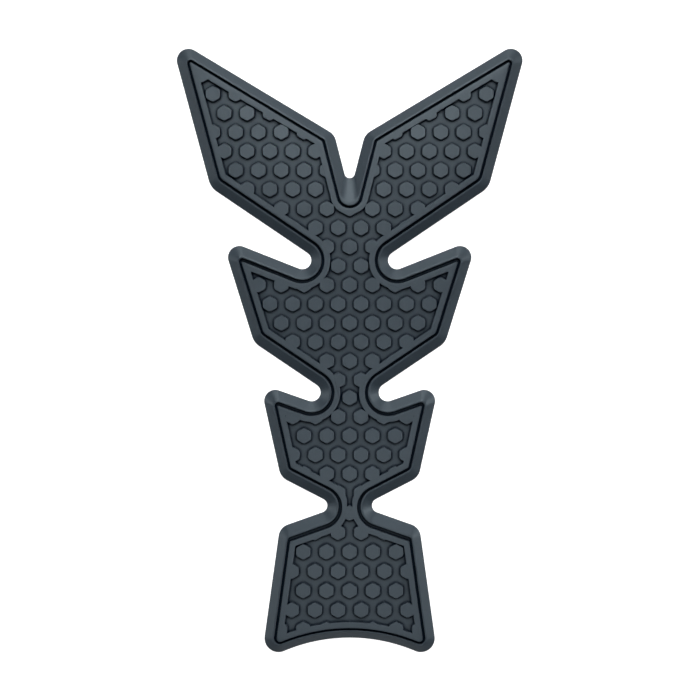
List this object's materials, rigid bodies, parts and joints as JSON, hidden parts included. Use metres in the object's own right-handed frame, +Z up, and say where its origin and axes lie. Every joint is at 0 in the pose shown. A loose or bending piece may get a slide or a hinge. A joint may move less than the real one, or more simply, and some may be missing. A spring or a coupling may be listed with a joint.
{
  "type": "motorcycle tank pad",
  "caption": "One-piece moulded rubber pad for a fuel tank, spine-shaped with two wings, side notches, a grooved sloping border and a field of hexagonal studs.",
  "frame": {"origin": "middle of the underside's bounding box, on the bonding face", "axes": "+Y along the pad to its winged front end, +Z up out of the studded face, +X to the right; the pad is the same on both sides of X = 0"},
  "size_m": [0.1204, 0.21, 0.003],
  "materials": {
    "rubber": "matte moulded"
  },
  "bodies": {
    "root": {"pad": "rubber"}
  },
  "joints": []
}
